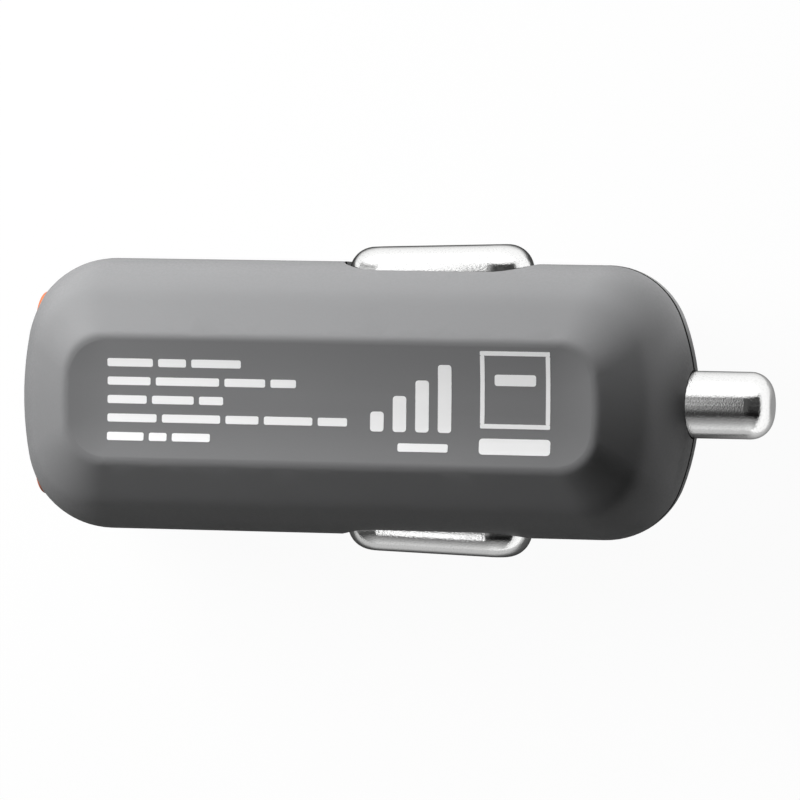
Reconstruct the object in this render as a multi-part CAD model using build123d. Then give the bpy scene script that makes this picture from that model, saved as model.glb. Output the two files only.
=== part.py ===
from build123d import *
import math
import os

# Case: length from the USB end to the nose, radius of the barrel that enters the socket, wall thickness
case_length = 52.8
barrel_radius = 10.4
wall = 1.6
nose_wall = 4.0
usb_end_radius = 25.0
nose_end_radius = 18.0
# Corner radius of the plan outline as a share of its half height, so that every level keeps its shape
usb_corner_share = 0.63
nose_corner_share = 0.585

# Case surface from the seam to the panel: barrel arc, sloped bevel, rounded crest, dished panel
barrel_angle = 40.5
bevel_angle = 36.0
bevel_width = 2.72
crest_radius = 1.0
dish_angle = 10.0
dish_flat = 0.8
rest_flat = 0.05

# Seam between the two shells: open reveal outside, lip and rebate inside
reveal_gap = 0.36
reveal_depth = 0.7
lip_height = 0.8
lip_clearance = 0.05

# Centre contact at the nose
tip_radius = 2.55
tip_reach = 5.9
tip_nose_radius = 1.7
tip_clearance = 0.08
tip_travel = 3.0
collar_radius = 3.6
collar_length = 1.2
collar_gap = 0.05
spigot_radius = 1.5
spigot_length = 1.4

# Coil spring behind the tip, and the terminal it stands on
coil_radius = 2.0
coil_wire = 0.45
coil_turns = 6
coil_length = 9.2
terminal_sheet = 0.4
terminal_width = 5.2
terminal_foot = 2.6

# Ground contacts on both sides of the barrel
contact_length = 14.35
contact_width = 5.8
contact_from_nose = 12.75
contact_rear_rise = 1.1
contact_front_rise = 1.55
contact_edge_radius = 1.95
contact_sheet = 0.45
contact_clearance = 0.4
contact_tab = 1.1
contact_seat_gap = 0.05
contact_travel = 1.25

# Ground springs from the board to the side contacts
leaf_sheet = 0.3
leaf_width = 5.0
leaf_foot = 1.6
leaf_bend = 0.8

# USB-A receptacle
shield_width = 13.1
shield_height = 5.7
shield_length = 13.6
shield_sheet = 0.3
shield_corner = 0.6
shield_tab_width = 1.5
shield_tab_reach = 0.5
tongue_width = 11.1
tongue_thickness = 1.84
tongue_length = 8.6
tongue_setback = 1.0
tongue_top_gap = 0.72
usb_pin_width = 1.0
usb_pin_thickness = 0.2
usb_pin_spread = (-3.5, -1.0, 1.0, 3.5)
usb_pin_foot = 0.8
usb_pin_setback = 0.9
block_overhang = 0.8

# Coloured surround of the port
bezel_margin = 1.2
bezel_corner = 2.6
bezel_setback = 1.68
bezel_edge = 0.3
bezel_depth = 4.0
bezel_flange = 0.8
bezel_flange_length = 1.1
bezel_clearance = 0.06
shield_recess = 0.2

# Circuit board
board_thickness = 1.2
board_shoulder = 0.75
board_corner = 0.5
board_rear_gap = 0.4
board_front_gap = 2.2
board_clearance = 0.1

# Supports moulded inside the shells
rail_inset = 1.0
rib_thickness = 1.2
rib_width = 8.0
post_width = 1.5

# Parts on the board: length along the plug, width, height
inductor_size = (6.2, 6.2, 4.2)
can_radius = 2.5
can_height = 5.4
can_base = 5.3
can_base_height = 1.0
can_gap = 1.0
controller_size = (4.9, 3.9, 1.4)
controller_legs = 4
controller_pitch = 1.27
port_chip_size = (2.9, 1.6, 1.1)
port_chip_legs = 3
port_chip_pitch = 0.95
leg_reach = 0.9
leg_width = 0.4
leg_thickness = 0.2
diode_size = (4.4, 2.6, 2.0)
fuse_size = (6.0, 2.5, 2.1)
chip_capacitor_size = (2.0, 1.25, 0.9)
chip_resistor_size = (1.6, 0.8, 0.45)
chip_pitch = 2.4

# Heights and stations that follow from the sizes above
shield_half = shield_height / 2
board_top = -shield_half
board_bottom = board_top - board_thickness
bezel_face = -case_length + bezel_setback
bezel_rear = bezel_face + bezel_depth
usb_front = bezel_face + shield_recess
usb_rear = usb_front + shield_length
collar_front = -nose_wall - collar_gap
collar_rear = collar_front - collar_length
coil_rear = collar_rear - coil_length
board_rear = bezel_rear + board_rear_gap
board_front = collar_rear - tip_travel - board_front_gap
board_length = board_front - board_rear
contact_front = -contact_from_nose
contact_rear = contact_front - contact_length
contact_middle = (contact_front + contact_rear) / 2
contact_slope = (contact_front_rise - contact_rear_rise) / contact_length
contact_base = math.sqrt((barrel_radius - wall) ** 2 - (contact_width / 2) ** 2) - contact_seat_gap
board_narrow = 2 * (contact_base - contact_sheet - contact_travel - board_clearance)
board_wide = shield_width + 2 * board_shoulder
bezel_width = shield_width + 2 * bezel_clearance + 2 * bezel_margin
bezel_height = shield_height + 2 * bezel_clearance + 2 * bezel_margin
tongue_top = shield_half - shield_sheet - tongue_top_gap
tongue_bottom = tongue_top - tongue_thickness
tongue_front = usb_front + tongue_setback
block_front = tongue_front + tongue_length
block_rear = usb_rear + block_overhang
can_spread = can_base / 2 + board_clearance
can_share = (block_rear + usb_pin_foot + can_gap + can_base / 2 - board_rear) / board_length
inductor_rear = block_rear + usb_pin_foot + can_gap + can_base
inductor_front = coil_rear - terminal_sheet - terminal_foot
inductor_share = ((inductor_rear + inductor_front) / 2 - board_rear) / board_length
chip_side = board_narrow / 4

# Case profile points that follow from the sizes above, as inset from the outline and height above the seam
bevel_start = (
    barrel_radius * (1 - math.cos(math.radians(barrel_angle))),
    barrel_radius * math.sin(math.radians(barrel_angle)),
)
bevel_rise = math.tan(math.radians(bevel_angle))
bevel_normal = math.radians(90 - bevel_angle)
bevel_end = (bevel_start[0] + bevel_width, bevel_start[1] + bevel_width * bevel_rise)
crest_centre = (
    bevel_end[0] + crest_radius * math.cos(bevel_normal),
    bevel_end[1] - crest_radius * math.sin(bevel_normal),
)
dish_start = (
    crest_centre[0] + crest_radius * math.sin(math.radians(dish_angle)),
    crest_centre[1] + crest_radius * math.cos(math.radians(dish_angle)),
)
dish_run = barrel_radius - dish_flat - dish_start[0]
dish_depth = dish_run * math.tan(math.radians(dish_angle)) / 2
roof = dish_start[1] - dish_depth - wall
rest_level = crest_centre[1] + crest_radius - rest_flat


def end_arc(apex, end_radius, corner_radius, half, side):
    # Corner arc tangent to the long side and, from inside, to the bulged end
    centre = apex - side * end_radius
    rise = half - corner_radius
    reach = math.sqrt((end_radius - corner_radius) ** 2 - rise**2)
    turn = math.atan2(rise, reach)
    corner_x = centre + side * reach
    join = (centre + side * end_radius * math.cos(turn), end_radius * math.sin(turn))
    middle = (turn + math.pi / 2) / 2
    knee = (corner_x + side * corner_radius * math.cos(middle), rise + corner_radius * math.sin(middle))
    return corner_x, knee, join


def outline(inset, level):
    # Plan outline of the case, drawn in by an inset, at a height
    half = barrel_radius - inset
    nose = -inset
    rear = inset - case_length
    nose_x, nose_knee, nose_join = end_arc(nose, nose_end_radius, nose_corner_share * half, half, 1)
    rear_x, rear_knee, rear_join = end_arc(rear, usb_end_radius, usb_corner_share * half, half, -1)

    def point(place, side=1):
        return (place[0], side * place[1], level)

    return Wire(
        [
            Line((rear_x, half, level), (nose_x, half, level)),
            ThreePointArc((nose_x, half, level), point(nose_knee), point(nose_join)),
            ThreePointArc(point(nose_join), (nose, 0, level), point(nose_join, -1)),
            ThreePointArc(point(nose_join, -1), point(nose_knee, -1), (nose_x, -half, level)),
            Line((nose_x, -half, level), (rear_x, -half, level)),
            ThreePointArc((rear_x, -half, level), point(rear_knee, -1), point(rear_join, -1)),
            ThreePointArc(point(rear_join, -1), (rear, 0, level), point(rear_join)),
            ThreePointArc(point(rear_join), point(rear_knee), (rear_x, half, level)),
        ]
    )


def pillow(profile):
    # Solid through the outlines of a profile, mirrored below the seam
    below = [(inset, -level) for inset, level in reversed(profile)]
    return Solid.make_loft([outline(inset, level) for inset, level in below + profile[1:]])


def barrel_points(radius, inset, shares):
    turns = [math.radians(barrel_angle * share) for share in shares]
    return [(inset + radius * (1 - math.cos(turn)), radius * math.sin(turn)) for turn in turns]


def bevel_point(share, depth=0.0):
    across = bevel_start[0] + bevel_width * share
    up = bevel_start[1] + bevel_width * share * bevel_rise
    return (across + depth * math.cos(bevel_normal), up - depth * math.sin(bevel_normal))


def dish_block():
    # Hollow from the inner edge of the crest down to the level strip along the middle of the panel
    shares = (0, 0.25, 0.5, 0.75, 1)
    points = [(dish_start[0] + dish_run * t, dish_start[1] - dish_depth * t * (2 - t)) for t in shares]
    return Solid.make_loft([outline(inset, level) for inset, level in points])


def case_block():
    profile = barrel_points(barrel_radius, 0, (0, 0.2, 0.4, 0.6, 0.8, 0.95))
    profile += [bevel_point(share) for share in (0.15, 0.4, 0.65, 0.85, 0.96)]
    for share in (0.1, 0.4, 0.7, 1):
        turn = bevel_normal + share * (math.radians(90 + dish_angle) - bevel_normal)
        across = crest_centre[0] - crest_radius * math.cos(turn)
        profile.append((across, crest_centre[1] + crest_radius * math.sin(turn)))
    dish = dish_block()
    return pillow(profile) - dish - mirror(dish, about=Plane.XY)


def cavity_block():
    profile = barrel_points(barrel_radius - wall, wall, (0, 0.3, 0.6, 0.9))
    start = bevel_point(0.2, wall)
    across = start[0] + (roof - start[1]) / bevel_rise
    profile += [start, (across, roof)]
    return pillow(profile) & Pos(-nose_wall, 0, 0) * Box(
        2 * case_length, 4 * barrel_radius, 4 * barrel_radius, align=(Align.MAX, Align.CENTER, Align.CENTER)
    )


def slab(low, high):
    size = [high[i] - low[i] for i in range(3)]
    return Pos(*low) * Box(*size, align=(Align.MIN, Align.MIN, Align.MIN))


def ring(outer, inner, low, high):
    # Wall-shaped band between two insets
    band = Face(outline(outer, low)) - Face(outline(inner, low))
    return extrude(band, amount=high - low, dir=(0, 0, 1))


def rounded_bar(width, height, corner, start, end):
    return extrude(Plane.YZ.offset(start) * RectangleRounded(width, height, corner), amount=end - start)


def bezel_body(grow):
    # Surround with its retaining flange, grown all round for the pocket in the shells
    front = bezel_face - grow
    rear = bezel_rear + grow
    tube = rounded_bar(bezel_width + 2 * grow, bezel_height + 2 * grow, bezel_corner + grow, front, rear)
    lip_start = bezel_rear - bezel_flange_length - grow
    step = 2 * (bezel_flange + grow)
    flange = rounded_bar(bezel_width + step, bezel_height + step, bezel_corner + step / 2, lip_start, rear)
    return tube + flange


def usb_bezel():
    body = bezel_body(0)
    rim = body.faces().sort_by(Axis.X)[0].outer_wire().edges()
    body = fillet(rim, bezel_edge)
    hole = 2 * bezel_clearance
    opening = rounded_bar(
        shield_width + hole,
        shield_height + hole,
        shield_corner + bezel_clearance,
        bezel_face - 1,
        bezel_rear + 1,
    )
    return body - opening


def shell_cuts():
    # Openings shared by both shells: port pocket, tip guide and the slots of the side contacts
    port = bezel_body(bezel_clearance)
    port += rounded_bar(
        bezel_width + 2 * bezel_clearance,
        bezel_height + 2 * bezel_clearance,
        bezel_corner + bezel_clearance,
        -case_length - 1,
        bezel_rear,
    )
    guide_length = nose_wall + 2
    guide = Pos(1 - guide_length / 2, 0, 0) * Cylinder(
        tip_radius + tip_clearance, guide_length, rotation=(0, 90, 0)
    )
    slots = contact_bar(-contact_clearance, contact_base - wall, barrel_radius + wall)
    slots += mirror(slots, about=Plane.XZ)
    return port + guide + slots


def supports_below(cavity):
    # Rails under both edges of the board, and a stop in front of it
    rail_inner = board_narrow / 2 - rail_inset
    rail = slab((board_rear, rail_inner, -barrel_radius), (board_front, barrel_radius, board_bottom))
    for station in shield_tab_stations():
        rail -= shield_tab(station, board_clearance)
    stop_start = board_front + board_clearance
    stop = slab(
        (stop_start, -board_narrow / 2, -barrel_radius),
        (stop_start + rib_thickness, board_narrow / 2, board_bottom + board_thickness / 2),
    )
    return (rail + mirror(rail, about=Plane.XZ) + stop) & cavity


def supports_above(cavity):
    # Rib on top of the receptacle, and two posts on the front corners of the board
    rib_middle = usb_front + 0.75 * shield_length
    rib = slab(
        (rib_middle - rib_thickness / 2, -rib_width / 2, shield_half),
        (rib_middle + rib_thickness / 2, rib_width / 2, barrel_radius),
    )
    post_outer = board_narrow / 2 - board_clearance
    post = slab(
        (board_front - post_width - board_clearance, post_outer - post_width, board_top),
        (board_front - board_clearance, post_outer, barrel_radius),
    )
    return (rib + post + mirror(post, about=Plane.XZ)) & cavity


def shells():
    case = case_block()
    cavity = cavity_block()
    hollow = case - cavity
    cuts = shell_cuts()
    half_gap = reveal_gap / 2
    reveal = ring(0, reveal_depth, -half_gap, half_gap)
    lip = ring(reveal_depth + lip_clearance, wall - lip_clearance, -lip_height, 0)
    rebate = ring(reveal_depth, wall + lip_clearance, -lip_height, 0)
    span = 2 * case_length
    upper = hollow & slab((-span, -span, 0), (span, span, span))
    lower = hollow & slab((-span, -span, -rest_level), (span, span, 0))
    upper = upper - reveal + lip + supports_above(cavity) - cuts
    lower = lower - reveal - rebate + supports_below(cavity) - cuts
    return upper, lower


def tip_pin():
    shaft_length = tip_reach - collar_front
    shaft = Cylinder(tip_radius, shaft_length, align=(Align.CENTER, Align.CENTER, Align.MIN))
    shaft = fillet(shaft.edges().sort_by(Axis.Z)[-1], tip_nose_radius)
    collar = Cylinder(collar_radius, collar_length, align=(Align.CENTER, Align.CENTER, Align.MAX))
    spigot_reach = collar_length + spigot_length
    spigot = Cylinder(spigot_radius, spigot_reach, align=(Align.CENTER, Align.CENTER, Align.MAX))
    return Pos(collar_front, 0, 0) * Rot(0, 90, 0) * (shaft + collar + spigot)


def tip_spring():
    climb = coil_length - coil_wire
    start = (coil_rear + coil_wire / 2, 0, 0)
    path = Helix(climb / coil_turns, climb, coil_radius, center=start, direction=(1, 0, 0))
    section = Plane(path @ 0, z_dir=path % 0) * Circle(coil_wire / 2)
    return sweep(section, path=path, is_frenet=True)


def spring_terminal():
    # Upright plate behind the spring, with a foot on the board
    half = terminal_width / 2
    top = coil_radius + coil_wire
    plate = slab((coil_rear - terminal_sheet, -half, board_top), (coil_rear, half, top))
    foot = slab(
        (coil_rear - terminal_sheet - terminal_foot, -half, board_top),
        (coil_rear - terminal_sheet, half, board_top + terminal_sheet),
    )
    return plate + foot


def contact_bar(inset, low, high):
    # Round-ended bar standing out of the side of the barrel
    plane = Plane(origin=(contact_middle, low, 0), x_dir=(1, 0, 0), z_dir=(0, 1, 0))
    return extrude(plane * SlotOverall(contact_length - 2 * inset, contact_width - 2 * inset), amount=high - low)


def contact_form(inset):
    # Shoe with a sloped outer face, rounded over all round
    rear = contact_rear - contact_tab
    front = contact_front + contact_tab
    crown = barrel_radius + contact_rear_rise - inset
    side = [
        (rear, contact_base),
        (rear, crown - contact_slope * contact_tab),
        (front, crown + contact_slope * (contact_length + contact_tab)),
        (front, contact_base),
    ]
    wedge = extrude(make_face(Polyline(*side, close=True)), amount=contact_width, both=True)
    shoe = contact_bar(inset, contact_base, 2 * barrel_radius) & wedge
    return fillet(shoe.faces().sort_by(Axis.Y)[-1].edges(), contact_edge_radius - inset)


def side_contact():
    shoe = contact_form(0) - contact_form(contact_sheet)
    tabs = slab(
        (contact_rear - contact_clearance - contact_tab, contact_base - contact_sheet, -contact_width / 2),
        (contact_front + contact_clearance + contact_tab, contact_base, contact_width / 2),
    )
    return shoe + (tabs - contact_bar(contact_sheet, contact_base - contact_sheet, contact_base))


def ground_spring():
    # Strip with a foot on the board, a leg tangent to a rounded nose inside the contact, and a short tail
    inner_face = barrel_radius + (contact_rear_rise + contact_front_rise) / 2 - contact_sheet
    inner_face -= contact_slope * leaf_width / 2 + leaf_sheet / 2
    bend_y = inner_face - leaf_bend
    bend_z = leaf_bend
    heel_y = board_narrow / 2 - board_clearance - leaf_sheet
    heel_z = board_top + leaf_sheet / 2
    reach = math.hypot(bend_y - heel_y, bend_z - heel_z)
    turn = math.atan2(bend_z - heel_z, bend_y - heel_y) - math.asin(leaf_bend / reach)
    start = turn - math.pi / 2
    finish = turn + math.pi / 2

    def around(angle):
        return (bend_y + leaf_bend * math.cos(angle), bend_z + leaf_bend * math.sin(angle))

    tail = around(finish)
    strip = [
        Line((heel_y - leaf_foot, heel_z), (heel_y, heel_z)),
        Line((heel_y, heel_z), around(start)),
        ThreePointArc(around(start), around((start + finish) / 2), tail),
        Line(tail, (tail[0] - math.cos(turn) * leaf_bend, tail[1] - math.sin(turn) * leaf_bend)),
    ]
    band = trace(strip, line_width=leaf_sheet)
    leaf = extrude(Plane.YZ.offset(contact_middle) * band, amount=leaf_width / 2, both=True)
    return leaf


def usb_shield():
    outer = rounded_bar(shield_width, shield_height, shield_corner, usb_front, usb_rear)
    inner_corner = shield_corner - shield_sheet
    inner = rounded_bar(
        shield_width - 2 * shield_sheet,
        shield_height - 2 * shield_sheet,
        inner_corner,
        usb_front - 1,
        usb_rear + 1,
    )
    tube = outer - inner
    for station in shield_tab_stations():
        tab = shield_tab(station, 0)
        tube += tab + mirror(tab, about=Plane.XZ)
    return tube


def shield_tab(station, grow):
    # Tab from the side of the shield through the board, grown all round for the slots it passes
    half = shield_tab_width / 2 + grow
    low = board_bottom - shield_tab_reach - grow
    outer = shield_width / 2 + grow
    inner = shield_width / 2 - shield_sheet - grow
    return slab((station - half, inner, low), (station + half, outer, 0))


def shield_tab_stations():
    # Along the part of the receptacle that stands over the board
    over = usb_rear - board_rear
    return [board_rear + over * share for share in (0.3, 0.8)]


def usb_pins():
    # Four strips under the tongue, through the block and down to the board
    front = tongue_front + usb_pin_setback
    pins = []
    for middle in usb_pin_spread:
        left = middle - usb_pin_width / 2
        right = middle + usb_pin_width / 2
        strip = slab(
            (front, left, tongue_bottom - usb_pin_thickness),
            (block_rear + usb_pin_thickness, right, tongue_bottom),
        )
        drop = slab((block_rear, left, board_top), (block_rear + usb_pin_thickness, right, tongue_bottom))
        foot = slab(
            (block_rear, left, board_top),
            (block_rear + usb_pin_foot, right, board_top + usb_pin_thickness),
        )
        pins.append(strip + drop + foot)
    return pins


def usb_insulator():
    inside = 2 * shield_sheet
    block = rounded_bar(
        shield_width - inside, shield_height - inside, shield_corner - shield_sheet, block_front, block_rear
    )
    tongue = slab(
        (tongue_front, -tongue_width / 2, tongue_bottom),
        (block_front, tongue_width / 2, tongue_top),
    )
    body = block + tongue
    for pin in usb_pins():
        body -= pin
    return body


def circuit_board():
    wide_end = contact_rear - contact_clearance - contact_tab - contact_seat_gap
    wide = slab((board_rear, -board_wide / 2, board_bottom), (wide_end, board_wide / 2, board_top))
    narrow = slab((board_rear, -board_narrow / 2, board_bottom), (board_front, board_narrow / 2, board_top))
    board = wide + narrow
    board = fillet(board.edges().filter_by(Axis.Z).group_by(Axis.X)[-1], board_corner)
    for station in shield_tab_stations():
        slot = shield_tab(station, board_clearance)
        board -= slot + mirror(slot, about=Plane.XZ)
    return board


def on_board(share, across, size, above):
    # Block standing on a face of the board, placed by its share of the board length
    length, width, height = size
    middle = board_rear + board_length * share
    low = board_top if above else board_bottom - height
    corner = (middle - length / 2, across - width / 2, low)
    return slab(corner, (corner[0] + length, corner[1] + width, low + height))


def can_capacitor(share, across):
    # Aluminium can on a chamfered base
    base = on_board(share, across, (can_base, can_base, can_base_height), True)
    base = chamfer(base.edges().filter_by(Axis.Z).group_by(Axis.X)[0], can_base / 6)
    middle = board_rear + board_length * share
    can = Cylinder(can_radius, can_height - can_base_height, align=(Align.CENTER, Align.CENTER, Align.MIN))
    can = fillet(can.edges().sort_by(Axis.Z)[-1], can_radius / 6)
    return base + Pos(middle, across, board_top + can_base_height) * can


def legged_chip(share, across, size, legs, pitch):
    # Moulded chip under the board, with a row of bent legs on each side
    length, width, height = size
    standoff = leg_thickness / 2
    middle = board_rear + board_length * share
    body = Pos(0, 0, -standoff) * on_board(share, across, (length, width, height - standoff), False)
    body = chamfer(body.edges().group_by(Axis.Z)[0], height / 8)
    chip = body
    level = board_bottom - height / 2
    for number in range(legs):
        along = middle + (number - (legs - 1) / 2) * pitch
        for side in (-1, 1):
            root = across + side * width / 2
            toe = root + side * leg_reach
            knee = root + side * leg_reach / 2
            left = along - leg_width / 2
            right = along + leg_width / 2
            half = leg_thickness / 2
            chip += slab((left, min(root, knee), level - half), (right, max(root, knee), level + half))
            rise = sorted((knee, knee - side * leg_thickness))
            chip += slab((left, rise[0], level - half), (right, rise[1], board_bottom))
            rest = sorted((knee - side * leg_thickness, toe))
            chip += slab((left, rest[0], board_bottom - leg_thickness), (right, rest[1], board_bottom))
    return chip


def chip_row(share, across, size, count):
    step = chip_pitch / board_length
    return [on_board(share + number * step, across, size, False) for number in range(count)]


def power_inductor():
    body = on_board(inductor_share, 0, inductor_size, True)
    return chamfer(body.edges().filter_by(Axis.Z), inductor_size[0] / 8)


def moulded_block(share, across, size):
    body = on_board(share, across, size, False)
    return chamfer(body.edges().group_by(Axis.Z)[0], size[2] / 8)


upper_shell, lower_shell = shells()
left_contact = side_contact()
left_spring = ground_spring()

nodes = {
    "upper_shell": upper_shell,
    "lower_shell": lower_shell,
    "usb_bezel": usb_bezel(),
    "usb_shield": usb_shield(),
    "usb_insulator": usb_insulator(),
    "usb_contacts": Compound(usb_pins()),
    "circuit_board": circuit_board(),
    "tip_pin": tip_pin(),
    "tip_spring": tip_spring(),
    "spring_terminal": spring_terminal(),
    "contact_left": left_contact,
    "contact_right": mirror(left_contact, about=Plane.XZ),
    "ground_spring_left": left_spring,
    "ground_spring_right": mirror(left_spring, about=Plane.XZ),
    "input_capacitor": can_capacitor(can_share, can_spread),
    "output_capacitor": can_capacitor(can_share, -can_spread),
    "power_inductor": power_inductor(),
    "buck_controller": legged_chip(0.7, 0, controller_size, controller_legs, controller_pitch),
    "port_controller": legged_chip(0.3, 0, port_chip_size, port_chip_legs, port_chip_pitch),
    "rectifier_diode": moulded_block(0.5, -chip_side, diode_size),
    "fuse": moulded_block(0.9, 0, fuse_size),
    "chip_capacitors": Compound(chip_row(0.42, chip_side, chip_capacitor_size, 4)),
    "chip_resistors": Compound(chip_row(0.22, -chip_side, chip_resistor_size, 3)),
}

os.makedirs("parts", exist_ok=True)
for name, shape in nodes.items():
    export_step(shape, f"parts/{name}.step")
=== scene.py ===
import math
import bmesh
import bpy
from mathutils import Matrix, Vector
from mathutils.bvhtree import BVHTree


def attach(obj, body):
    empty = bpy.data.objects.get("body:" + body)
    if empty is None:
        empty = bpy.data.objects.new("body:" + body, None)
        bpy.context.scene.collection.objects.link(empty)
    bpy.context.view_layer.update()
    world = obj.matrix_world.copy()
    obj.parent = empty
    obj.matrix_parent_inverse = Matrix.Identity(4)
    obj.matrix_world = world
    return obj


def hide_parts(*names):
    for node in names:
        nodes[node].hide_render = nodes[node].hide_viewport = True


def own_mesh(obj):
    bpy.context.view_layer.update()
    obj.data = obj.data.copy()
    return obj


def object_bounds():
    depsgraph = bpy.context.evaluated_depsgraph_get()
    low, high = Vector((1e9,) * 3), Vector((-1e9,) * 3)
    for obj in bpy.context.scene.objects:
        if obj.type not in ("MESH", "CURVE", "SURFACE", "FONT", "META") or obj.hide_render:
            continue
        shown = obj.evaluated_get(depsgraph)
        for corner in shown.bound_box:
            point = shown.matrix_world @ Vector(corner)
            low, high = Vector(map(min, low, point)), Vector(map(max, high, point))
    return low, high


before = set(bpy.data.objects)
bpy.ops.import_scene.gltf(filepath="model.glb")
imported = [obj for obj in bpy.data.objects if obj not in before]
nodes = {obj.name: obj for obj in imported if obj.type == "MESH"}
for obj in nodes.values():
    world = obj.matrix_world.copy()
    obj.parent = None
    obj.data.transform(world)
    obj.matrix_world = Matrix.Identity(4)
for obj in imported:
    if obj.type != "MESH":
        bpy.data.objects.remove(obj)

mm = 0.001
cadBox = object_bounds()
scene = bpy.context.scene
print("frame loaded:", len(nodes), "nodes")


# small helpers for node trees
def addNode(tree, kind, inputs=None, **settings):
    node = tree.nodes.new(kind)
    for key, value in settings.items():
        setattr(node, key, value)
    for key, value in (inputs or {}).items():
        node.inputs[key].default_value = value
    return node


def feed(tree, source, target):
    tree.links.new(source, target)


def newGroup(name, inputs, outputs):
    group = bpy.data.node_groups.new(name, "ShaderNodeTree")
    for label, value in inputs.items():
        socket = group.interface.new_socket(label, in_out="INPUT", socket_type="NodeSocketFloat")
        socket.default_value = value
    for label in outputs:
        group.interface.new_socket(label, in_out="OUTPUT", socket_type="NodeSocketFloat")
    return group, addNode(group, "NodeGroupInput"), addNode(group, "NodeGroupOutput")


def math2(tree, operation, first, second):
    # one Math node; each side is a socket or a plain number
    node = addNode(tree, "ShaderNodeMath", operation=operation)
    for place, value in enumerate((first, second)):
        if isinstance(value, (int, float)):
            node.inputs[place].default_value = value
        else:
            feed(tree, value, node.inputs[place])
    return node.outputs[0]


def span(tree, mask, low, high):
    # low where the mask is 0, high where it is 1
    mapped = addNode(tree, "ShaderNodeMapRange", {"To Min": low, "To Max": high})
    feed(tree, mask, mapped.inputs["Value"])
    return mapped.outputs["Result"]


def sloped(tree, value, low, high):
    # straight rise from 0 at low to 1 at high
    slope = addNode(tree, "ShaderNodeMapRange", {"From Min": low, "From Max": high})
    feed(tree, value, slope.inputs["Value"])
    return slope.outputs["Result"]


def ramped(tree, value, low, high):
    # soft step from 0 at low to 1 at high
    step = addNode(tree, "ShaderNodeMapRange", {"From Min": low, "From Max": high})
    step.interpolation_type = "SMOOTHSTEP"
    feed(tree, value, step.inputs["Value"])
    return step.outputs["Result"]


# shared effects
mouldNoise = {
    "fine": {"Detail": 3.0, "Roughness": 0.62},
    "slow": {"Detail": 2.0, "Roughness": 0.5},
    "pits": (0.3, 0.7),  # stretch of the fine noise over which a pit opens
}


def makeMouldGrain(look):
    # spark-eroded mould texture: fine pits, with a slow drift of tone over the moulding
    sizes = {"Grain Size mm": 0.2, "Drift Size mm": 9.0}
    group, given, put = newGroup("mouldGrain", sizes, ("Height", "Drift", "Pits"))
    place = addNode(group, "ShaderNodeTexCoord").outputs["Object"]
    fine = addNode(group, "ShaderNodeTexNoise", look["fine"])
    slow = addNode(group, "ShaderNodeTexNoise", look["slow"])
    feed(group, place, fine.inputs["Vector"])
    feed(group, place, slow.inputs["Vector"])
    feed(group, math2(group, "DIVIDE", 1 / mm, given.outputs["Grain Size mm"]), fine.inputs["Scale"])
    feed(group, math2(group, "DIVIDE", 1 / mm, given.outputs["Drift Size mm"]), slow.inputs["Scale"])
    feed(group, fine.outputs["Fac"], put.inputs["Height"])
    feed(group, slow.outputs["Fac"], put.inputs["Drift"])
    feed(group, ramped(group, fine.outputs["Fac"], *look["pits"]), put.inputs["Pits"])
    return group


plateNoise = {
    "lines": {"Detail": 2.0, "Roughness": 0.55},
    "patch": {"Detail": 3.0, "Roughness": 0.6},
    "pits": (0.32, 0.1),  # distance from a cell's middle, from the rim of a pit to its floor
    "dull": (0.35, 0.7),  # stretch of the patch noise over which the plating dulls
}


def makePlateGrain(look):
    # plated or drawn metal: lines along one direction, small pits, and patches that are duller
    sizes = {"Stretch " + axis: 1.0 for axis in "XYZ"}
    sizes.update({"Grain Size mm": 0.15, "Patch Size mm": 2.5})
    group, given, put = newGroup("plateGrain", sizes, ("Height", "Dull", "Pits"))
    place = addNode(group, "ShaderNodeTexCoord").outputs["Object"]
    spread = addNode(group, "ShaderNodeCombineXYZ")
    for axis in "XYZ":
        feed(group, given.outputs["Stretch " + axis], spread.inputs[axis])
    stretched = addNode(group, "ShaderNodeVectorMath", operation="MULTIPLY")
    feed(group, place, stretched.inputs[0])
    feed(group, spread.outputs[0], stretched.inputs[1])
    grainScale = math2(group, "DIVIDE", 1 / mm, given.outputs["Grain Size mm"])
    lines = addNode(group, "ShaderNodeTexNoise", look["lines"])
    feed(group, stretched.outputs[0], lines.inputs["Vector"])
    feed(group, grainScale, lines.inputs["Scale"])
    spots = addNode(group, "ShaderNodeTexVoronoi", feature="F1")
    feed(group, place, spots.inputs["Vector"])
    feed(group, grainScale, spots.inputs["Scale"])
    patch = addNode(group, "ShaderNodeTexNoise", look["patch"])
    feed(group, place, patch.inputs["Vector"])
    feed(group, math2(group, "DIVIDE", 1 / mm, given.outputs["Patch Size mm"]), patch.inputs["Scale"])
    feed(group, lines.outputs["Fac"], put.inputs["Height"])
    feed(group, sloped(group, patch.outputs["Fac"], *look["dull"]), put.inputs["Dull"])
    feed(group, sloped(group, spots.outputs["Distance"], *look["pits"]), put.inputs["Pits"])
    return group


mouldGrain = makeMouldGrain(mouldNoise)
plateGrain = makePlateGrain(plateNoise)
print("shared effects built")


# finishes
def startFinish(name, look):
    # new material with its own shader and its constants set on the shader's sockets
    finish = bpy.data.materials.new(name)
    finish.use_nodes = True
    tree = finish.node_tree
    shader = tree.nodes["Principled BSDF"]
    shader.inputs["Metallic"].default_value = look.get("metallic", 0.0)
    shader.inputs["Specular IOR Level"].default_value = look.get("specular", 0.5)
    shader.inputs["Specular Tint"].default_value = (*look.get("edge", (1, 1, 1)), 1)
    return finish, tree, shader


def tone(tree, mask, dark, light):
    mix = addNode(tree, "ShaderNodeMix", data_type="RGBA")
    for socket in mix.inputs:
        if socket.identifier == "A_Color":
            socket.default_value = (*dark, 1)
        if socket.identifier == "B_Color":
            socket.default_value = (*light, 1)
    feed(tree, mask, mix.inputs[0])
    return next(socket for socket in mix.outputs if socket.identifier == "Result_Color")


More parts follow.
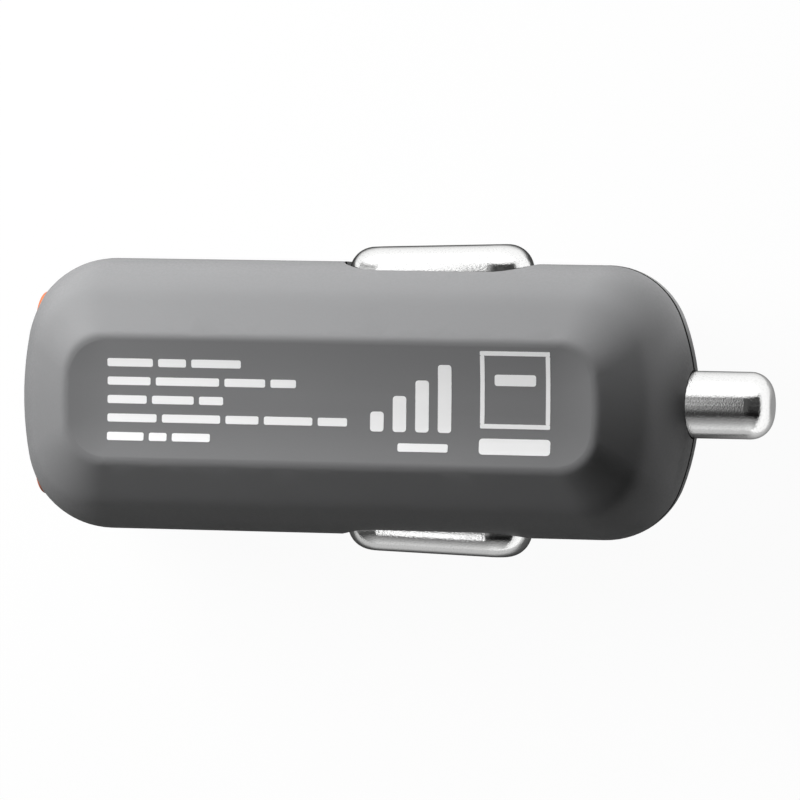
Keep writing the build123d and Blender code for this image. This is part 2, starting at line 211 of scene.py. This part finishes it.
def raised(tree, height, depth, shader):
    bump = addNode(tree, "ShaderNodeBump", {"Strength": 1.0, "Distance": depth})
    feed(tree, height, bump.inputs["Height"])
    feed(tree, bump.outputs["Normal"], shader.inputs["Normal"])


def moulded(name, look):
    # plastic, ceramic and epoxy parts
    finish, tree, shader = startFinish(name, look)
    grain = addNode(tree, "ShaderNodeGroup", node_tree=mouldGrain)
    grain.inputs["Grain Size mm"].default_value = look["grain"]
    grain.inputs["Drift Size mm"].default_value = look["drift"]
    colour = tone(tree, grain.outputs["Drift"], look["dark"], look["light"])
    feed(tree, colour, shader.inputs["Base Color"])
    feed(tree, span(tree, grain.outputs["Pits"], *look["roughness"]), shader.inputs["Roughness"])
    raised(tree, grain.outputs["Height"], look["depth"], shader)
    return finish


def plated(name, look):
    # plated, drawn and tinned metal parts
    finish, tree, shader = startFinish(name, {"metallic": 1.0, **look})
    grain = addNode(tree, "ShaderNodeGroup", node_tree=plateGrain)
    for axis, stretch in zip("XYZ", look["stretch"]):
        grain.inputs["Stretch " + axis].default_value = stretch
    grain.inputs["Grain Size mm"].default_value = look["grain"]
    grain.inputs["Patch Size mm"].default_value = look["patch"]
    colour = tone(tree, grain.outputs["Pits"], look["light"], look["dark"])
    feed(tree, colour, shader.inputs["Base Color"])
    feed(tree, span(tree, grain.outputs["Dull"], *look["roughness"]), shader.inputs["Roughness"])
    raised(tree, grain.outputs["Height"], look["depth"], shader)
    return finish


def dress(finish, *names):
    for name in names:
        nodes[name].data.materials.clear()
        nodes[name].data.materials.append(finish)


caseLook = {
    "dark": (0.186, 0.187, 0.19),
    "light": (0.202, 0.203, 0.206),
    "roughness": (0.42, 0.54),
    "specular": 0.33,
    "grain": 0.22,
    "drift": 11.0,
    "depth": 0.006 * mm,
}
caseGrey = moulded("caseGrey", caseLook)


def paintJointAndTipShade(finish, look):
    # painted shade: the open joint between the shells and the nose around the tip are darkened in the
    # base colour, standing in for the shade that falls there
    tree = finish.node_tree
    shader = tree.nodes["Principled BSDF"]
    plain = shader.inputs["Base Color"].links[0].from_socket
    split = addNode(tree, "ShaderNodeSeparateXYZ")
    feed(tree, addNode(tree, "ShaderNodeTexCoord").outputs["Object"], split.inputs[0])
    height = math2(tree, "ABSOLUTE", split.outputs["Z"], 0)
    # painted shade along the joint between the shells
    joint = ramped(tree, height, look["jointHalf"], look["jointHalf"] + look["jointFade"])
    # painted shade on the nose around the tip
    squares = [math2(tree, "POWER", split.outputs[axis], 2) for axis in "YZ"]
    around = math2(tree, "SQRT", math2(tree, "ADD", *squares), 0)
    near = math2(tree, "SUBTRACT", 1.0, ramped(tree, around, *look["tipShadeRadius"]))
    ahead = ramped(tree, split.outputs["X"], *look["tipShadeReach"])
    tipShade = span(tree, math2(tree, "MULTIPLY", near, ahead), 1.0, look["tipShadeTone"])
    # both painted shades, multiplied into the base colour
    shadeFactor = math2(tree, "MULTIPLY", span(tree, joint, look["jointShadeTone"], 1.0), tipShade)
    shade = addNode(tree, "ShaderNodeVectorMath", operation="SCALE")
    feed(tree, plain, shade.inputs[0])
    feed(tree, shadeFactor, shade.inputs["Scale"])
    feed(tree, shade.outputs[0], shader.inputs["Base Color"])


paintedShadeLook = {
    "jointHalf": 0.25 * mm,  # half the height of the painted shade along the joint
    "jointFade": 0.03 * mm,
    "jointShadeTone": 0.06,
    "tipShadeRadius": (2.6 * mm, 6.5 * mm),  # around the tip, from darkest painted shade to none
    "tipShadeReach": (-4.5 * mm, -1.2 * mm),  # along X, from no painted shade to darkest
    "tipShadeTone": 0.36,
}
paintJointAndTipShade(caseGrey, paintedShadeLook)
dress(caseGrey, "upper_shell", "lower_shell")

bezelLook = {
    "dark": (0.52, 0.125, 0.04),
    "light": (0.58, 0.145, 0.05),
    "roughness": (0.3, 0.42),
    "specular": 0.45,
    "grain": 0.18,
    "drift": 6.0,
    "depth": 0.004 * mm,
}
dress(moulded("bezelOrange", bezelLook), "usb_bezel")

contactLook = {
    "dark": (0.62, 0.62, 0.62),
    "light": (0.86, 0.86, 0.855),
    "edge": (0.42, 0.42, 0.42),  # darker rim where the plating turns away
    "roughness": (0.06, 0.14),
    "stretch": (0.6, 1.0, 1.0),
    "grain": 0.12,
    "patch": 1.6,
    "depth": 0.009 * mm,
}
dress(plated("contactNickel", contactLook), "contact_left", "contact_right")

tipLook = {
    "dark": (0.62, 0.62, 0.62),
    "light": (0.86, 0.86, 0.855),
    "edge": (0.42, 0.42, 0.42),
    "roughness": (0.06, 0.14),
    "stretch": (1.0, 0.7, 0.7),
    "grain": 0.11,
    "patch": 1.4,
    "depth": 0.011 * mm,
}
dress(plated("tipNickel", tipLook), "tip_pin")

shieldLook = {
    "dark": (0.5, 0.5, 0.5),
    "light": (0.68, 0.68, 0.69),
    "roughness": (0.22, 0.38),
    "stretch": (0.12, 1.0, 1.0),
    "grain": 0.12,
    "patch": 3.0,
    "depth": 0.003 * mm,
}
dress(plated("shieldTin", shieldLook), "usb_shield")

insulatorLook = {
    "dark": (0.016, 0.016, 0.017),
    "light": (0.022, 0.022, 0.024),
    "roughness": (0.36, 0.5),
    "grain": 0.2,
    "drift": 5.0,
    "depth": 0.004 * mm,
}
dress(moulded("insulatorBlack", insulatorLook), "usb_insulator")

goldLook = {
    "dark": (0.6, 0.4, 0.13),
    "light": (0.86, 0.62, 0.26),
    "roughness": (0.14, 0.28),
    "stretch": (0.2, 1.0, 1.0),
    "grain": 0.1,
    "patch": 1.5,
    "depth": 0.002 * mm,
}
dress(plated("pinGold", goldLook), "usb_contacts")

boardLook = {
    "dark": (0.01, 0.07, 0.026),
    "light": (0.016, 0.1, 0.038),
    "roughness": (0.24, 0.38),
    "grain": 0.3,
    "drift": 3.0,
    "depth": 0.006 * mm,
}
dress(moulded("boardGreen", boardLook), "circuit_board")

terminalLook = {
    "dark": (0.5, 0.4, 0.22),
    "light": (0.74, 0.62, 0.38),
    "roughness": (0.2, 0.34),
    "stretch": (1.0, 0.15, 1.0),
    "grain": 0.14,
    "patch": 2.0,
    "depth": 0.003 * mm,
}
terminalBrass = plated("terminalBrass", terminalLook)
dress(terminalBrass, "spring_terminal")

canLook = {
    "dark": (0.5, 0.5, 0.51),
    "light": (0.72, 0.72, 0.73),
    "roughness": (0.24, 0.36),
    "stretch": (1.0, 1.0, 0.2),
    "grain": 0.16,
    "patch": 2.2,
    "depth": 0.003 * mm,
}
dress(plated("canAluminium", canLook), "input_capacitor", "output_capacitor")

ferriteLook = {
    "dark": (0.02, 0.02, 0.021),
    "light": (0.034, 0.034, 0.035),
    "roughness": (0.5, 0.68),
    "grain": 0.28,
    "drift": 3.0,
    "depth": 0.012 * mm,
}
dress(moulded("ferriteGrey", ferriteLook), "power_inductor")

chipLook = {
    "dark": (0.011, 0.011, 0.012),
    "light": (0.017, 0.017, 0.018),
    "roughness": (0.42, 0.6),
    "grain": 0.16,
    "drift": 2.0,
    "depth": 0.006 * mm,
}
dress(moulded("chipEpoxy", chipLook), "buck_controller", "port_controller", "rectifier_diode")

fuseLook = {
    "dark": (0.66, 0.64, 0.58),
    "light": (0.74, 0.72, 0.67),
    "roughness": (0.3, 0.45),
    "grain": 0.2,
    "drift": 2.0,
    "depth": 0.004 * mm,
}
dress(moulded("fuseCeramic", fuseLook), "fuse")

chipCapacitorLook = {
    "dark": (0.25, 0.14, 0.07),
    "light": (0.32, 0.19, 0.1),
    "roughness": (0.35, 0.5),
    "grain": 0.12,
    "drift": 1.2,
    "depth": 0.003 * mm,
}
dress(moulded("capacitorTan", chipCapacitorLook), "chip_capacitors")

chipResistorLook = {
    "dark": (0.012, 0.012, 0.014),
    "light": (0.02, 0.02, 0.023),
    "roughness": (0.25, 0.4),
    "grain": 0.12,
    "drift": 1.0,
    "depth": 0.003 * mm,
}
dress(moulded("resistorFilm", chipResistorLook), "chip_resistors")
print("case, contacts, port and board parts dressed")

# springs, copied with their own finishes
springLook = {
    "dark": (0.42, 0.42, 0.43),
    "light": (0.62, 0.62, 0.63),
    "roughness": (0.2, 0.34),
    "stretch": (1.0, 1.0, 1.0),
    "grain": 0.1,
    "patch": 1.5,
    "depth": 0.002 * mm,
}
leafLook = {
    "dark": (0.5, 0.3, 0.14),
    "light": (0.72, 0.46, 0.24),
    "roughness": (0.2, 0.36),
    "stretch": (1.0, 0.15, 0.15),
    "grain": 0.12,
    "patch": 2.0,
    "depth": 0.002 * mm,
}
springWire = plated("springWire", springLook)
leafBronze = plated("leafBronze", leafLook)


def givingSpring(name, node, finish):
    # copy of the solid spring with its own finish, attached to the housing in place of the solid one
    spring = bpy.data.objects.new(name, nodes[node].data.copy())
    scene.collection.objects.link(spring)
    spring.data.materials.clear()
    spring.data.materials.append(finish)
    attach(spring, "housing")
    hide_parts(node)
    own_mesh(spring)


givingSpring(
    "coilSpring", "tip_spring", springWire,
)
for side in ("left", "right"):
    leaf = f"ground_spring_{side}"
    givingSpring(f"leafSpring_{side}", leaf, leafBronze)

# plain printed bars on the dished panel, laid on its surface
printLook = {  # places and sizes in mm, along X and across Y
    "ink": 0.014 * mm,  # how far the ink stands off the panel
    "lines": [  # rows of short bars: start of the row, place across, lengths
        (-43.8, 2.74, (3.6, 2.2, 3.9)),
        (-43.8, 1.34, (3.4, 5.0, 3.2, 2.0)),
        (-43.8, -0.06, (3.1, 3.3, 1.9)),
        (-43.8, -1.46, (3.9, 4.6, 2.6, 3.8, 2.3)),
        (-43.8, -2.86, (2.9, 1.4, 3.0)),
        (-20.95, -3.25, (3.9,)),
    ],
    "lineHeight": 0.62,
    "lineGap": 0.42,
    "levels": {  # four upright bars that grow
        "start": -22.6,
        "foot": -2.1,
        "width": 1.05,
        "step": 1.75,
        "heights": (1.5, 2.7, 3.9, 5.1),
    },
    "frame": {"middle": (-11.9, 1.2), "size": (5.4, 5.8), "stroke": 0.34},
    "frameBar": {"rise": 0.725, "size": (3.2, 0.85)},
    "footBar": {"middle": (-11.9, -3.05), "size": (5.5, 1.2)},
    "cornerShare": 0.22,  # corner radius of a bar, as a share of its narrow side
    "cornerTurns": (0.0, 0.5, 1.05, math.pi / 2),  # radians through a round corner
    "cell": 0.35,  # size of the patches that follow the panel
    "fewestColumns": 4,
    "fewestRows": 2,
    "dropHeight": 50,  # the bars are dropped onto the panel from here
}
inkLook = {
    "dark": (0.93, 0.93, 0.93),
    "light": (0.97, 0.97, 0.97),
    "roughness": (0.4, 0.55),
    "specular": 0.3,
    "grain": 0.1,
    "drift": 2.0,
    "depth": 0.002 * mm,
}


def printedBars(look):
    # every mark is a bar: middle along, middle across, length, height
    bars = []
    for start, across, lengths in look["lines"]:
        for length in lengths:
            bars.append((start + length / 2, across, length, look["lineHeight"]))
            start += length + look["lineGap"]
    levels = look["levels"]
    for number, height in enumerate(levels["heights"]):
        along = levels["start"] + number * levels["step"]
        bars.append((along, levels["foot"] + height / 2, levels["width"], height))
    along, across = look["frame"]["middle"]
    wide, tall = look["frame"]["size"]
    stroke = look["frame"]["stroke"]
    for side in (-1, 1):
        bars.append((along, across + side * (tall - stroke) / 2, wide, stroke))
        bars.append((along + side * (wide - stroke) / 2, across, stroke, tall - 2 * stroke))
    bars.append((along, across + look["frameBar"]["rise"], *look["frameBar"]["size"]))
    bars.append((*look["footBar"]["middle"], *look["footBar"]["size"]))
    return bars


def barStations(length, corner, look):
    # places along a bar: close together in its round ends, then even
    columns = max(look["fewestColumns"], int(length / look["cell"]) + 1)
    plain = length - 2 * corner
    start = [-length / 2 + corner * (1 - math.cos(turn)) for turn in look["cornerTurns"]]
    inner = [-length / 2 + corner + plain * number / columns for number in range(1, columns)]
    return start + inner + [-station for station in reversed(start)]


def layBar(mesh, panel, bar, look):
    # thin closed patch with softened corners, dropped onto the panel point by point
    along, across, length, height = bar
    corner = min(length, height) * look["cornerShare"]
    stations = barStations(length, corner, look)
    rows = max(look["fewestRows"], int(height / look["cell"]) + 1)
    above = Vector((0, 0, look["dropHeight"])) * mm
    layers = []
    for lift in (look["ink"], -look["ink"]):
        grid = []
        for station in stations:
            room = length / 2 - abs(station)
            half = height / 2
            if room < corner:
                half -= corner - math.sqrt(max(0.0, corner**2 - (corner - room) ** 2))
            line = []
            for row in range(rows + 1):
                spot = Vector((along + station, across + half * (2 * row / rows - 1), 0)) * mm
                hit = panel.ray_cast(spot + above, Vector((0, 0, -1)))[0]
                line.append(mesh.verts.new(hit + Vector((0, 0, lift))))
            grid.append(line)
        layers.append(grid)
    top, under = layers
    last = len(stations) - 1
    for i in range(last):
        for j in range(rows):
            mesh.faces.new((top[i][j], top[i + 1][j], top[i + 1][j + 1], top[i][j + 1]))
            mesh.faces.new((under[i][j], under[i][j + 1], under[i + 1][j + 1], under[i + 1][j]))
    edge = [(i, 0) for i in range(last)] + [(last, j) for j in range(rows)]
    edge += [(i, rows) for i in range(last, 0, -1)] + [(0, j) for j in range(rows, 0, -1)]
    for (i, j), (k, n) in zip(edge, edge[1:] + edge[:1]):
        mesh.faces.new((under[i][j], under[k][n], top[k][n], top[i][j]))


def printPanel(look):
    panel = BVHTree.FromObject(nodes["upper_shell"], bpy.context.evaluated_depsgraph_get())
    mesh = bmesh.new()
    for bar in printedBars(look):
        layBar(mesh, panel, bar, look)
    data = bpy.data.meshes.new("panelPrint")
    mesh.to_mesh(data)
    mesh.free()
    sheet = bpy.data.objects.new("panelPrint", data)
    scene.collection.objects.link(sheet)
    data.materials.append(moulded("inkWhite", inkLook))
    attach(sheet, "housing")


printPanel(printLook)
print("panel printed")


# floor, light and camera
studio = {
    "middle": (-24, 0, 0),  # mm, where the lamps aim
    "lamps": {  # direction it comes from, distance, width and height in metres, power
        "sideLamp": ((-0.702, 0.442, 0.559), 0.22, (0.157, 0.11), 0.75),
        "longLamp": ((0.24, 0.969, 0.045), 0.7, (0.5, 0.1), 5.5),
    },
    "ambient": 0.02,  # plain light from all sides
    "floorReach": 3.0,  # half its width in metres
    "floorGap": 0.01 * mm,  # under the rest rim, so the two faces don't lie in each other
    "floorPale": 0.9,
    "floorBounce": 0.36,  # how much light it throws back on the object
    "floorShadow": 0.04,  # share of the floor's white that takes the object's shadow
}
metalFloor = {  # how bright metal sees the floor, and over which stretch in mm it gets there; its dim level beside the object is a painted shadow
    # painted shadow: the floor's level right beside the object
    "beside": 0.12,
    "left": (1.15, 13, 20),
    "right": (0.6, -14, -34),
    "nose": (0.7, -6, 8),
    "ahead": (1.15, 7, 14),
    "tipLeft": (1.15, (-8, -4), (4, 8)),  # beside the tip it is bright sooner: along X, then along Y
}
metalTent = {
    "across": [  # place from -Y over the top to +Y, level; the folds in the middle speckle the plating
        (0.0, 0.9),
        (0.02, 0.72),
        (0.05, 0.5),
        (0.085, 0.36),
        (0.14, 0.24),
        (0.215, 0.07),
        (0.28, 0.07),
        (0.36, 0.18),
        (0.42, 0.5),
        (0.47, 0.26),
        (0.53, 0.82),
        (0.585, 0.32),
        (0.64, 0.86),
        (0.69, 0.36),
        (0.735, 0.75),
        (0.765, 1.0),
        (0.79, 1.3),
    ],
    "lensDark": (-0.5, 0.2),  # along X, where the dark room behind the camera begins
    "lensLevel": 0.1,  # share of the tent's level left in it
    "lensSides": ((-0.62, -0.5), (0.44, 0.54)),  # along Y, where the tent closes it off
    "glowAhead": (0.2, 0.6),  # along X, bright paper low down in front of the tip
    "glowHeight": (0.32, 0.12),  # along Z, from none to full
}
metalCards = {  # cards that show only in reflections: height and corners in plan in mm, level
    "rightCard": (60, ((-43, -27), (-30, -27), (-34, -60), (-47, -60)), 1.25),
    "leftCard": (60, ((-49, 17), (-31.5, 17), (-32.5, 50), (-50, 50)), 1.25),
    "darkFlag": (40, ((-5, 22), (-5, -14), (12, -14), (12, 22)), 0.08),
}
middle = Vector(studio["middle"]) * mm


def softLamp(name, direction, distance, size, power):
    lamp = bpy.data.lights.new(name, "AREA")
    lamp.shape = "RECTANGLE"
    lamp.size, lamp.size_y = size
    lamp.energy = power
    holder = bpy.data.objects.new(name, lamp)
    scene.collection.objects.link(holder)
    holder.location = middle + Vector(direction).normalized() * distance
    holder.rotation_euler = (middle - holder.location).to_track_quat("-Z", "Y").to_euler()
    holder.visible_glossy = False  # metal sees the tent and the floor instead


def mixLevels(tree, mask, low, high):
    # low where the mask is 0, high where it is 1; each is a socket or a plain number
    mix = addNode(tree, "ShaderNodeMix", data_type="FLOAT")
    feed(tree, mask, mix.inputs[0])
    for place, value in ((2, low), (3, high)):
        if isinstance(value, (int, float)):
            mix.inputs[place].default_value = value
        else:
            feed(tree, value, mix.inputs[place])
    return mix.outputs[0]


def mixShaders(tree, mask, first, second):
    mix = addNode(tree, "ShaderNodeMixShader")
    if isinstance(mask, float):
        mix.inputs["Fac"].default_value = mask
    else:
        feed(tree, mask, mix.inputs["Fac"])
    feed(tree, first.outputs[0], mix.inputs[1])
    feed(tree, second.outputs[0], mix.inputs[2])
    return mix


def floorCorner(tree, split, along, across):
    # part of the floor past a line across X and a line across Y
    pastX = ramped(tree, split.outputs["X"], *(value * mm for value in along))
    pastY = ramped(tree, split.outputs["Y"], *(value * mm for value in across))
    return math2(tree, "MULTIPLY", pastX, pastY)


def floorInMetal(tree, look):
    # level of the floor in reflections: dim beside the object as a painted shadow, lower on the -Y side
    # as painted shade, bright away from it
    split = addNode(tree, "ShaderNodeSeparateXYZ")
    feed(tree, addNode(tree, "ShaderNodeTexCoord").outputs["Object"], split.inputs[0])
    level = look["beside"]
    for part, axis in (("left", "Y"), ("right", "Y"), ("nose", "X"), ("ahead", "X")):
        bright, start, finish = look[part]
        reach = ramped(tree, split.outputs[axis], start * mm, finish * mm)
        level = math2(tree, "MAXIMUM", level, math2(tree, "MULTIPLY", reach, bright))
    bright, along, across = look["tipLeft"]
    beside = math2(tree, "MULTIPLY", floorCorner(tree, split, along, across), bright)
    return math2(tree, "MAXIMUM", level, beside)


def layFloor():
    level = cadBox[0].z - studio["floorGap"]
    reach = studio["floorReach"]
    data = bpy.data.meshes.new("floor")
    signs = ((-1, -1), (1, -1), (1, 1), (-1, 1))
    corners = [(x * reach, y * reach, level) for x, y in signs]
    data.from_pydata(corners, [], [(0, 1, 2, 3)])
    floor = bpy.data.objects.new("floor", data)
    scene.collection.objects.link(floor)
    finish = bpy.data.materials.new("floorPale")
    finish.use_nodes = True
    tree = finish.node_tree
    tree.nodes.clear()
    path = addNode(tree, "ShaderNodeLightPath")
    seen = math2(tree, "MAXIMUM", path.outputs["Is Camera Ray"], path.outputs["Is Transmission Ray"])
    bounce = addNode(tree, "ShaderNodeBsdfDiffuse", {"Color": (*[studio["floorBounce"]] * 3, 1)})
    pale = addNode(tree, "ShaderNodeBsdfDiffuse", {"Color": (*[studio["floorPale"]] * 3, 1)})
    white = addNode(tree, "ShaderNodeEmission", {"Strength": 1.0})
    mirrored = addNode(tree, "ShaderNodeEmission")
    feed(tree, floorInMetal(tree, metalFloor), mirrored.inputs["Strength"])
    shown = mixShaders(tree, studio["floorShadow"], white, pale)
    hidden = mixShaders(tree, path.outputs["Is Glossy Ray"], bounce, mirrored)
    whole = mixShaders(tree, seen, hidden, shown)
    feed(tree, whole.outputs[0], addNode(tree, "ShaderNodeOutputMaterial").inputs["Surface"])
    data.materials.append(finish)


def hangCard(name, height, corners, level):
    data = bpy.data.meshes.new(name)
    data.from_pydata([Vector((*spot, height)) * mm for spot in corners], [], [(0, 1, 2, 3)])
    card = bpy.data.objects.new(name, data)
    scene.collection.objects.link(card)
    finish = bpy.data.materials.new(name)
    finish.use_nodes = True
    tree = finish.node_tree
    tree.nodes.clear()
    glow = addNode(tree, "ShaderNodeEmission", {"Strength": level})
    feed(tree, glow.outputs[0], addNode(tree, "ShaderNodeOutputMaterial").inputs["Surface"])
    data.materials.append(finish)
    card.visible_camera = False
    card.visible_diffuse = False
    card.visible_shadow = False
    card.visible_transmission = False


def tentInMetal(tree, aim, look):
    # light tent in reflections: white to the left, a dark room behind the camera, bright paper ahead
    split = addNode(tree, "ShaderNodeSeparateXYZ")
    feed(tree, aim, split.inputs[0])
    along, across, height = (split.outputs[axis] for axis in "XYZ")
    place = addNode(tree, "ShaderNodeMapRange", {"From Min": -1.0, "From Max": 1.0})
    feed(tree, across, place.inputs["Value"])
    ramp = addNode(tree, "ShaderNodeValToRGB")
    elements = ramp.color_ramp.elements
    while len(elements) < len(look["across"]):
        elements.new(0.5)
    for element, (spot, level) in zip(elements, look["across"]):
        element.position = spot
        element.color = (level, level, level, 1)
    feed(tree, place.outputs["Result"], ramp.inputs["Fac"])
    right, left = look["lensSides"]
    room = math2(tree, "MULTIPLY", ramped(tree, across, *right), ramped(tree, across, *reversed(left)))
    dark = math2(tree, "MULTIPLY", ramped(tree, along, *look["lensDark"]), room)
    tent = math2(tree, "MULTIPLY", ramp.outputs["Color"], mixLevels(tree, dark, 1.0, look["lensLevel"]))
    low = ramped(tree, height, *look["glowHeight"])
    glow = math2(tree, "MULTIPLY", ramped(tree, along, *look["glowAhead"]), low)
    return math2(tree, "MAXIMUM", tent, glow)


def hangSky():
    # white to the camera, a plain low ambient for the rest, and a light tent for metal
    sky = bpy.data.worlds.new("tent")
    scene.world = sky
    sky.use_nodes = True
    tree = sky.node_tree
    ground = tree.nodes["Background"]
    path = addNode(tree, "ShaderNodeLightPath")
    tent = tentInMetal(tree, addNode(tree, "ShaderNodeTexCoord").outputs["Generated"], metalTent)
    hidden = mixLevels(tree, path.outputs["Is Glossy Ray"], studio["ambient"], tent)
    seen = math2(tree, "MAXIMUM", path.outputs["Is Camera Ray"], path.outputs["Is Transmission Ray"])
    ground.inputs["Color"].default_value = (1, 1, 1, 1)
    feed(tree, mixLevels(tree, seen, hidden, 1.0), ground.inputs["Strength"])


cameraLook = {
    "aim": (-23.16, -0.105, 0.0),  # mm, the point in the middle of the picture
    "turn": 15.24,  # degrees from overhead towards the tip
    "lean": 2.73,  # degrees from overhead towards +Y
    "roll": 0.44,  # degrees
    "distance": 532.0,  # mm
    "pixelsPerMm": 13.115,
    "pictureWidth": 800,
    "clip": (0.01, 20),  # metres
}


def setCamera(look):
    turn = math.tan(math.radians(look["turn"]))
    lean = math.tan(math.radians(look["lean"]))
    roll = math.radians(look["roll"])
    back = Vector((turn, lean, 1)).normalized()
    level = Vector((0, 1, 0)).cross(back).normalized()
    rise = back.cross(level)
    right = math.cos(roll) * level + math.sin(roll) * rise
    up = math.cos(roll) * rise - math.sin(roll) * level
    lens = bpy.data.cameras.new("camera")
    lens.lens = lens.sensor_width * look["pixelsPerMm"] * look["distance"] / look["pictureWidth"]
    lens.clip_start, lens.clip_end = look["clip"]
    holder = bpy.data.objects.new("camera", lens)
    scene.collection.objects.link(holder)
    stand = Matrix((right, up, back)).transposed().to_4x4()
    stand.translation = (Vector(look["aim"]) + back * look["distance"]) * mm
    holder.matrix_world = stand
    scene.camera = holder


layFloor()
for lampName, values in studio["lamps"].items():
    softLamp(lampName, *values)
for cardName, values in metalCards.items():
    hangCard(cardName, *values)
hangSky()
setCamera(cameraLook)
scene.view_settings.view_transform = "Standard"
print("studio and camera set")
